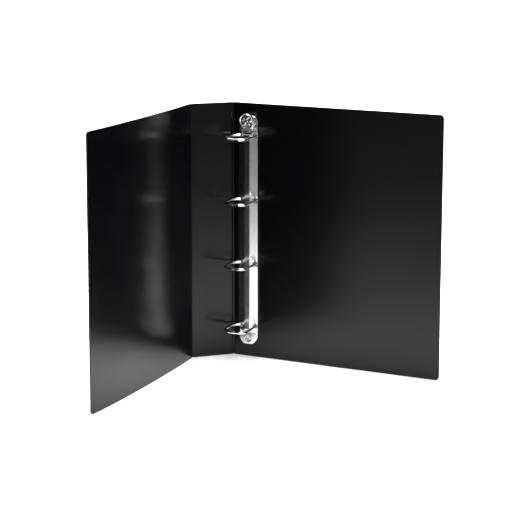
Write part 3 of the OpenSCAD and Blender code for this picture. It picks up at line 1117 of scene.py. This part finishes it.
@dataclass
class RingPair(MechanismPart):
    """One ring: a round half on the left rail and a straight-legged half on the right."""

    number: int
    top: float = 45.0 * MM
    curve: float = 16.5 * MM
    heel: float = 11.0 * MM
    side_lean: float = 7.0
    corner: float = 7.0 * MM
    leg_lean: float = 8.0
    split: float = 2.2 * MM
    gap: float = 0.1 * MM
    foot: float = 1.5 * MM
    knee: float = 3.4 * MM
    foot_turn: float = 74.0
    knee_run: float = 1.3 * MM
    peg: float = 0.9 * MM
    chamfer: float = 0.28 * MM
    chamfer_run: float = 0.22 * MM
    socket_wall: float = 0.38 * MM
    socket_spare: float = 0.25 * MM
    wire: float = field(init=False)
    level: float = field(init=False)
    corner_at: Vector = field(init=False)
    heel_at: Vector = field(init=False)
    crest_at: Vector = field(init=False)

    def __post_init__(self) -> None:
        """Takes the ring's level, wire and reach from the frame, and places its curves."""
        low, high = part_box(f"ring_right_{self.number}")
        self.wire = (high.z - low.z) / 2
        self.level = (low.z + high.z) / 2
        far = high.x - self.axes.middle
        self.corner_at = Vector((far - self.wire - self.corner, self.top - self.corner))
        reach = self.axes.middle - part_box(f"ring_left_{self.number}")[0].x - self.wire
        rise = self.heel * math.sin(math.radians(self.foot_turn))
        self.heel_at = Vector((self.heel - reach, self.knee + rise))
        out = self._side_out()
        crest_off = self.top - self.curve
        across = (crest_off * out.y + self.curve - self.heel_at.dot(out) - self.heel) / -out.x
        self.crest_at = Vector((across, crest_off))

    def _side_out(self) -> Vector:
        """The way that the leaning round side faces, across and off the cover."""
        lean = math.radians(self.side_lean)
        return Vector((-math.cos(lean), math.sin(lean)))

    def _half(self, name: str, flat: Sequence[Flat]) -> bpy.types.Object:
        """Makes the wire of a half from its path, with a small chamfer at the last point.

        Args:
            name: The piece's name.
            flat: Places across the mechanism and off the cover, from the foot to the tip.

        Returns:
            The closed wire, at the ring's level.
        """
        path = [self.axes.at(across, off, self.level) for across, off in flat]
        radii = [self.wire] * (len(path) - 1) + [self.wire - self.chamfer]
        return tube(f"ring_{self.number}_{name}", path, Vector((0.0, 0.0, 1.0)), radii)

    def right_half(self) -> bpy.types.Object:
        """Makes the straight-legged half, its tip and its peg."""
        bend = self.corner_at
        tip = self.split + self.gap / 2
        turned = rounded_corner(tuple(bend), self.corner, -self.leg_lean, 90.0, 17)
        shift = math.tan(math.radians(self.leg_lean))
        flat = [(turned[0][0] - (turned[0][1] - n) * shift, n)
                for n in spread(self.foot, turned[0][1], 14)[:-1]]
        flat += turned
        flat += [(v, self.top) for v in (bend.x - 0.3 * (bend.x - tip), tip + self.chamfer_run, tip)]
        piece = self._half("straight_half", flat)
        finish_plain(piece)
        dress(piece, self.materials, "right_carrier", Finish.WIRE, f"ring_right_{self.number}")
        taper = [(0.45, -0.2 * MM), (0.43, 0.0), (0.30, 0.75 * self.peg), (0.2, self.peg), (0.0, self.peg)]
        peg = lathe(f"ring_{self.number}_peg", [(self.wire * share, run) for share, run in taper],
                    self.axes.at(tip, self.top, self.level), Vector((-1.0, 0.0, 0.0)), 24)
        finish_plain(peg)
        dress(peg, self.materials, "right_carrier", Finish.WIRE)
        return piece

    def left_half(self) -> bpy.types.Object:
        """Makes the round half, with the socket that takes the peg."""
        tip = self.split - self.gap / 2
        side = 180.0 - self.side_lean
        bend = rounded_corner(tuple(self.heel_at), self.heel, 180.0 + self.foot_turn, side, 22)
        arc = rounded_corner(tuple(self.crest_at), self.curve, side, 90.0, 25)
        knee = Vector(bend[0])
        turn = math.radians(self.foot_turn)
        before = knee - self.knee_run * Vector((0.0, 1.0))
        after = knee + self.knee_run * Vector((-math.sin(turn), math.cos(turn)))
        flat = [(knee.x, self.foot)]
        for share in spread(0.0, 1.0, 9):
            spot = (1 - share) ** 2 * before + 2 * share * (1 - share) * knee + share**2 * after
            flat.append(tuple(spot))
        flat += [spot for spot in bend if spot[0] < after.x - 0.2 * MM]
        low, high = Vector(bend[-1]), Vector(arc[0])
        flat += [tuple(low.lerp(high, share)) for share in spread(0.0, 1.0, 5)[1:-1]]
        flat += [*arc, (tip - self.chamfer_run, self.top), (tip, self.top)]
        piece = self._half("round_half", flat)
        self._bore_tip(piece, tip)
        finish_plain(piece)
        return dress(piece, self.materials, "left_carrier", Finish.WIRE, f"ring_left_{self.number}")

    def _bore_tip(self, piece: bpy.types.Object, tip: float) -> None:
        """Sinks the socket into the round half's tip."""
        work = bmesh.new()
        work.from_mesh(piece.data)
        plane = self.axes.at(tip, self.top, self.level)
        work.faces.ensure_lookup_table()
        caps = [f for f in work.faces if len(f.verts) > 8]
        cap = min(caps, key=lambda f: (f.calc_center_median() - plane).length)
        bmesh.ops.inset_region(work, faces=[cap], thickness=self.socket_wall)
        floor = bmesh.ops.extrude_face_region(work, geom=[cap])
        moved = [item for item in floor["geom"] if isinstance(item, bmesh.types.BMVert)]
        bmesh.ops.translate(work, verts=moved, vec=Vector((-self.peg - self.socket_spare, 0.0, 0.0)))
        bmesh.ops.delete(work, geom=[cap], context="FACES_ONLY")
        work.to_mesh(piece.data)
        work.free()

    def build(self) -> list[bpy.types.Object]:
        """Makes both halves of the ring."""
        return [self.right_half(), self.left_half()]


@dataclass
class Trigger(MechanismPart):
    """The trigger at the mechanism's top: a lever, its two jaws and a round thumb disc."""

    lean: float = 12.0
    press_gap: float = 0.46 * MM
    tab: float = 3.2 * MM
    rise: float = 10.0 * MM
    disc_radius: float = 9.75 * MM
    disc_steel: float = 1.4 * MM
    rim_width: float = 1.3 * MM
    rim_height: float = 0.5 * MM
    back_round: float = 0.6 * MM
    field_round: float = 0.45 * MM
    petal_height: float = 0.34 * MM
    boss_height: float = 0.22 * MM
    hub_radius: float = 1.9 * MM
    hub_half: float = 5.8 * MM
    strap: float = 1.1 * MM
    strap_narrowing: float = 0.10
    strap_overrun: float = 1.04
    flange: float = 0.9 * MM
    flange_width: float = 0.7 * MM
    jaw_round: float = 0.12 * MM
    tongue: Flat = (0.2 * MM, 0.7 * MM)
    tongue_reach: float = 5.5 * MM
    tongue_half: float = 4.0 * MM
    upper_half: float = 3.0 * MM
    ear_gap: float = 0.4 * MM
    ear_steel: float = 0.7 * MM
    pin: Vector = field(init=False)
    pin_radius: float = field(init=False)
    pin_half: float = field(init=False)
    pin_off: float = field(init=False)
    pin_level: float = field(init=False)
    disc_off: float = field(init=False)
    disc_level: float = field(init=False)

    def __post_init__(self) -> None:
        """Takes the pin's and the disc's places from the frame."""
        low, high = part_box("trigger_pin")
        self.pin_radius = (high.z - low.z) / 2
        self.pin_half = (high.x - low.x) / 2
        self.pin_off = self.axes.face - (low.y + high.y) / 2
        self.pin_level = (low.z + high.z) / 2
        lean = math.radians(self.lean)
        pressed = self.tab + self.press_gap - self.pin_off
        self.disc_off = self.pin_off + (pressed + self.rise * math.sin(lean)) / math.cos(lean)
        self.disc_level = self.pin_level + self.rise

    def disc_normal(self) -> Vector:
        """The way that the thumb disc faces."""
        lean = math.radians(self.lean)
        return self.axes.way(0.0, math.cos(lean), -math.sin(lean))

    def rosette(self, radius: float, turn: float) -> float:
        """Height of the disc's plain five-lobed relief at a radius and an angle."""
        share = radius / self.disc_radius
        lobes = 0.5 + 0.5 * math.cos(5.0 * turn + 0.4)
        petals = ease(share, 0.20, 0.42) * (1.0 - ease(share, 0.54, 0.80)) * ease(lobes, 0.10, 0.80)
        boss = 1.0 - ease(share, 0.08, 0.20)
        return self.petal_height * petals + self.boss_height * boss

    def disc(self) -> bpy.types.Object:
        """Makes the thumb disc with its rolled rim and relief."""
        r, t, w = self.disc_radius, self.disc_steel, self.rim_width
        back, inside = self.back_round, self.field_round
        profile: list[Flat] = [(0.0, 0.0), (r - 1.5 * back, 0.0)]
        profile += rounded_corner((r - back, back), back, -90.0, 0.0)
        profile += rounded_corner((r - w / 2, t + self.rim_height - w / 2), w / 2, 0.0, 180.0, 11)
        profile += rounded_corner((r - w - inside, t + inside), inside, 0.0, -90.0)[1:]
        field_radius = r - w - 0.5 * MM
        profile += [(field_radius * s, t) for s in spread(0.97, 0.0, 40)]

        def relief(radius: float, turn: float) -> float:
            """Relief inside the rim only."""
            return self.rosette(radius, turn) if radius < field_radius else 0.0

        origin = self.axes.at(0.0, self.disc_off, self.disc_level)
        piece = lathe("trigger_thumb_disc", profile, origin, self.disc_normal(), 120)
        self._emboss(piece, origin, relief, t * 0.5)
        finish_plain(piece)
        return dress(piece, self.materials, "trigger", Finish.PLATE, "trigger_lever")

    def _emboss(self, piece: bpy.types.Object, origin: Vector,
                relief: Callable[[float, float], float], above: float) -> None:
        """Raises the relief on the disc's outer face only.

        Args:
            piece: The disc.
            origin: The disc's middle.
            relief: Extra height from a radius and an angle.
            above: The height over which a vertex belongs to the outer face.
        """
        normal = self.disc_normal()
        first = normal.orthogonal().normalized()
        second = normal.cross(first)
        for vertex in piece.data.vertices:
            gap = vertex.co - origin
            if gap.dot(normal) > above:
                x, y = gap.dot(first), gap.dot(second)
                vertex.co += relief(math.hypot(x, y), math.atan2(y, x)) * normal

    def lever(self) -> bpy.types.Object:
        """Makes the lever's strap, a shallow channel from the hub to the disc."""
        lean = math.radians(self.lean)
        start = Vector((self.pin_off, self.pin_level))
        join = self.disc_radius - 1.5 * MM
        disc = Vector((self.disc_off, self.disc_level))
        run = disc - join * Vector((math.sin(lean), math.cos(lean))) - start
        way = run.normalized()
        back_side = Vector((way.y, -way.x))
        steel = self.strap / 2
        sections = spread(0.0, 1.0, 9)
        points: list[Vector] = []
        for share in sections:
            middle = start + run * share * self.strap_overrun
            half = self.hub_half * (1.0 - self.strap_narrowing * share)
            tall = steel + self.flange * ease(share, 0.0, 0.3) * (1.0 - ease(share, 0.75, 1.0))
            inner = half - self.flange_width
            side = [(half, -steel), (half, tall), (inner, tall), (inner - 0.3 * MM, steel)]
            for across, height in [(-v, n) for v, n in side] + side[::-1]:
                spot = middle + back_side * height
                points.append(self.axes.at(across, spot.x, spot.y))
        piece = new_object("trigger_lever_strap", points, closed_grid(len(sections), 8))
        soften_edges(piece, 0.18 * MM)
        finish_plain(piece)
        return dress(piece, self.materials, "trigger", Finish.PLATE)

    def hub(self) -> bpy.types.Object:
        """Makes the rolled hub that turns on the pin."""
        bore = self.pin_radius + 0.05 * MM
        outer = self.hub_radius
        half = self.hub_half
        profile = [(bore, -half), (outer - 0.2 * MM, -half), (outer, -half + 0.2 * MM),
                   (outer, half - 0.2 * MM), (outer - 0.2 * MM, half), (bore, half), (bore, -half)]
        piece = turned_ring("trigger_hub", profile, self.axes.at(0.0, self.pin_off, self.pin_level),
                            Vector((1.0, 0.0, 0.0)))
        return dress(piece, self.materials, "trigger", Finish.PLATE)

    def _slab(self, name: str, outline: Sequence[Flat], first: float, second: float,
              rounding: float) -> bpy.types.Object:
        """Makes a plate square to the pin from its side outline.

        Args:
            name: The piece's name.
            outline: Places off the cover and up.
            first: Where one face lies across the mechanism.
            second: Where the other face lies.
            rounding: The width of its rounded edges.

        Returns:
            The plate.
        """
        faces = [[self.axes.at(across, off, up) for off, up in outline] for across in (first, second)]
        return slab(name, faces[0], faces[1], rounding)

    def jaws(self) -> list[bpy.types.Object]:
        """Makes the two jaws that grip the rails' ends."""
        off, up = self.pin_off, self.pin_level
        under, over = self.tongue
        tongue = [
            (under, up - self.tongue_reach), (over, up - self.tongue_reach),
            (over, up - 2.8 * MM), (off - 1.0 * MM, up - 1.4 * MM),
            (off - 1.5 * MM, up - 0.2 * MM), (under, up - 2.1 * MM),
        ]
        upper = [
            (2.4 * MM, up - 5.1 * MM), (3.2 * MM, up - 5.1 * MM),
            (off + 1.4 * MM, up - 1.0 * MM), (off + 0.2 * MM, up - 1.2 * MM), (2.4 * MM, up - 1.5 * MM),
        ]
        shapes = (("lower", tongue, self.tongue_half), ("upper", upper, self.upper_half))
        pieces = [self._slab(f"trigger_{name}_jaw", outline, -half, half, self.jaw_round)
                  for name, outline, half in shapes]
        return [dress(piece, self.materials, "trigger", Finish.PLATE) for piece in pieces]

    def axle(self) -> bpy.types.Object:
        """Makes the pin with its two peened ends."""
        end = [(share * self.pin_radius, self.pin_half - drop * MM)
               for share, drop in ((0.0, 0.0), (0.55, 0.02), (0.9, 0.15), (1.0, 0.4))]
        profile = [(r, -z) for r, z in end] + end[::-1]
        piece = lathe("trigger_pin_peened", profile, self.axes.at(0.0, self.pin_off, self.pin_level),
                      Vector((1.0, 0.0, 0.0)), 32)
        finish_plain(piece)
        return dress(piece, self.materials, "back_cover", Finish.RIVET, "trigger_pin")

    def ears(self) -> list[bpy.types.Object]:
        """Makes the plate's two ears that hold the pin."""
        outline = [(1.2 * MM, -2.2 * MM), (3.6 * MM, -2.2 * MM)]
        outline += rounded_corner((2.9 * MM, 0.0), 2.1 * MM, -46.0, 46.0, 9)
        outline += [(3.6 * MM, 2.2 * MM), (1.2 * MM, 2.2 * MM)]
        raised = [(off, self.pin_level + up) for off, up in outline]
        pieces = []
        for name, side in (("plate_ear_left", -1), ("plate_ear_right", 1)):
            inner = side * (self.hub_half + self.ear_gap)
            piece = self._slab(name, raised, inner, inner + side * self.ear_steel, 0.1 * MM)
            pieces.append(dress(piece, self.materials, "back_cover", Finish.PLATE))
        return pieces

    def build(self) -> list[bpy.types.Object]:
        """Makes the trigger, its pin and the ears that hold it."""
        return [self.disc(), self.lever(), self.hub(), *self.jaws(), self.axle(), *self.ears()]


@dataclass
class Rivet(MechanismPart):
    """A hollow rivet: a domed head and washer outside, a rolled flange in the dish."""

    node: str
    washer_node: str
    floor: float = 0.8 * MM
    flange: float = 2.6 * MM
    flange_steel: float = 0.6 * MM
    bore: float = 1.0 * MM
    bore_depth: float = 1.2 * MM
    flange_round: float = 0.3 * MM
    bore_round: float = 0.45 * MM
    shank: float = 1.75 * MM
    rim: float = 0.4 * MM
    chamfer: float = 0.12 * MM
    level: float = field(init=False)
    head: float = field(init=False)
    head_high: float = field(init=False)
    washer: float = field(init=False)
    washer_steel: float = field(init=False)
    sheet: float = field(init=False)

    def __post_init__(self) -> None:
        """Takes the rivet's level and sizes from the frame."""
        low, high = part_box(self.node)
        washer_low, washer_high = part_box(self.washer_node)
        sheet_low, sheet_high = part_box("back_cover")
        self.level = (low.z + high.z) / 2
        self.head = (high.z - low.z) / 2
        self.sheet = sheet_high.y - sheet_low.y
        self.washer = (washer_high.z - washer_low.z) / 2
        self.washer_steel = washer_high.y - washer_low.y
        self.head_high = high.y - washer_high.y

    def _dome(self) -> bpy.types.Object:
        """Makes the outer head and the shank as one turned piece."""
        outer = -self.sheet - self.washer_steel
        top = self.floor + self.flange_steel
        rise = self.head_high - self.rim
        lip, throat = self.flange_round, self.bore_round
        turns = [math.radians(angle) for angle in spread(12.0, 78.0, 10)]
        profile: list[Flat] = [(0.0, outer - self.head_high)]
        profile += [(self.head * math.sin(a) * 0.985, outer - self.rim - rise * math.cos(a)) for a in turns]
        profile += [(self.head, outer - self.rim * 0.8), (self.head, outer - self.chamfer),
                    (self.head - self.chamfer, outer), (self.shank, outer), (self.shank, self.floor),
                    (self.flange - lip / 2, self.floor)]
        profile += rounded_corner((self.flange - lip, top - lip), lip, 0.0, 90.0)
        profile += rounded_corner((self.bore + throat, top - throat), throat, 90.0, 180.0)
        profile += [(self.bore, top - self.bore_depth), (0.0, top - self.bore_depth)]
        return lathe(f"{self.node}_turned", profile, self.axes.at(0.0, 0.0, self.level),
                     self.axes.way(0.0, 1.0, 0.0))

    def _washer(self) -> bpy.types.Object:
        """Makes the washer under the outer head."""
        hole = self.shank + 0.05 * MM
        outer = -self.sheet - self.washer_steel
        inner = -self.sheet
        r, cut = self.washer, self.chamfer
        profile = [(hole, inner), (r - cut, inner), (r, inner - cut), (r, outer + cut),
                   (r - cut, outer), (hole, outer), (hole, inner)]
        return turned_ring(f"{self.washer_node}_turned", profile,
                           self.axes.at(0.0, 0.0, self.level), self.axes.way(0.0, 1.0, 0.0))

    def build(self) -> list[bpy.types.Object]:
        """Makes the rivet and its washer."""
        turned = self._dome()
        finish_plain(turned)
        dress(turned, self.materials, "back_cover", Finish.RIVET, self.node)
        ring = self._washer()
        dress(ring, self.materials, "back_cover", Finish.RIVET, self.washer_node)
        return [turned, ring]


@dataclass
class Rails:
    """The two carrier rails under the plate, kept as the CAD made them."""

    materials: dict[Finish, bpy.types.Material]

    def build(self) -> list[bpy.types.Object]:
        """Dresses the rails in dull plated steel."""
        pieces = []
        for name in ("left_rail", "right_rail"):
            rail = frame["nodes"][name]
            for slot in rail.material_slots:
                slot.material = self.materials[Finish.RAIL]
            pieces.append(rail)
        return pieces


# --------------------------------------------------------------------------- studio


@dataclass
class Studio:
    """The pale floor, the soft lights and the camera."""

    lens: float = 134.06
    eye: Point = (0.98207, -2.04704, 0.59558)
    yaw: float = -0.4900
    pitch: float = 0.1980
    floor_half: float = 12.0
    sky: float = 0.23

    def camera(self) -> bpy.types.Object:
        """Places the camera, aimed by its yaw from +Y towards +X and its pitch down."""
        data = bpy.data.cameras.new("camera")
        data.lens = self.lens
        data.sensor_width = 36.0
        data.clip_end = 60.0
        made = bpy.data.objects.new("camera", data)
        made.location = self.eye
        made.rotation_euler = (math.pi / 2 - self.pitch, 0.0, -self.yaw)
        bpy.context.scene.collection.objects.link(made)
        bpy.context.scene.camera = made
        return made

    def floor(self) -> bpy.types.Object:
        """Lays the pale floor."""
        h = self.floor_half
        made = new_object("floor", [(-h, -h, 0.0), (h, -h, 0.0), (h, h, 0.0), (-h, h, 0.0)],
                          [(0, 1, 2, 3)])
        made.data.materials.append(StudioPaper().build())
        return made

    def light(self, name: str, ahead: float, right: float, up: float, size: Flat,
              power: float, beam: float) -> bpy.types.Object:
        """Hangs one soft box that faces straight down, square to the camera's heading.

        Args:
            name: The light's name.
            ahead: Distance past the binder, away from the camera.
            right: Distance to the camera's right.
            up: Height over the floor.
            size: Its width, and its depth along the camera's heading.
            power: Its power, in watts.
            beam: The full angle of its beam, in degrees.

        Returns:
            The light object.
        """
        data = bpy.data.lights.new(name, "AREA")
        data.shape = "RECTANGLE"
        data.size, data.size_y = size
        data.energy = power
        data.spread = math.radians(beam)
        made = bpy.data.objects.new(name, data)
        heading = Vector((math.sin(self.yaw), math.cos(self.yaw), 0.0))
        side = Vector((heading.y, -heading.x, 0.0))
        made.location = ahead * heading + right * side + Vector((0.0, 0.0, up))
        made.rotation_euler = (0.0, 0.0, -self.yaw)
        bpy.context.scene.collection.objects.link(made)
        return made

    def world(self) -> None:
        """Fills the room with even pale light."""
        world = bpy.data.worlds.new("room")
        world.use_nodes = True
        shade_node = world.node_tree.nodes["Background"]
        shade_node.inputs["Color"].default_value = (1.0, 1.0, 1.0, 1.0)
        shade_node.inputs["Strength"].default_value = self.sky
        bpy.context.scene.world = world

    def build(self) -> list[bpy.types.Object]:
        """Sets up the whole studio."""
        self.world()
        view = bpy.context.scene.view_settings
        view.view_transform = "Standard"
        return [
            self.camera(),
            self.floor(),
            self.light("near_box", 0.40, 0.0, 1.50, (0.9, 1.5), 20.0, 70.0),
            self.light("far_box", 5.0, 0.0, 2.40, (4.0, 7.5), 420.0, 120.0),
        ]


def ring_levels() -> list[float]:
    """The four rings' levels, from the lowest up."""
    levels = []
    for number in range(1, 5):
        low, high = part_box(f"ring_left_{number}")
        levels.append((low.z + high.z) / 2)
    return levels


def main() -> None:
    """Builds the binder and its studio in order, and logs each piece."""
    logging.basicConfig(level=logging.INFO, format="%(name)s: %(message)s")
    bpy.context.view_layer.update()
    materials = finish_table()
    axes = MechanismAxes()
    makers = [
        CoverSheet(materials),
        ArchedPlate(axes, materials, ring_levels()),
        Rails(materials),
        *[RingPair(axes, materials, number) for number in range(1, 5)],
        Trigger(axes, materials),
        Rivet(axes, materials, "bottom_rivet", "bottom_washer"),
        Rivet(axes, materials, "top_rivet", "top_washer"),
        Studio(),
    ]
    for maker in makers:
        made = maker.build()
        for piece in made if isinstance(made, list) else [made]:
            faces = len(piece.data.polygons) if piece.type == "MESH" else 0
            LOG.info("%s made %s (%d faces)", type(maker).__name__, piece.name, faces)


if __name__ == "__main__":
    main()
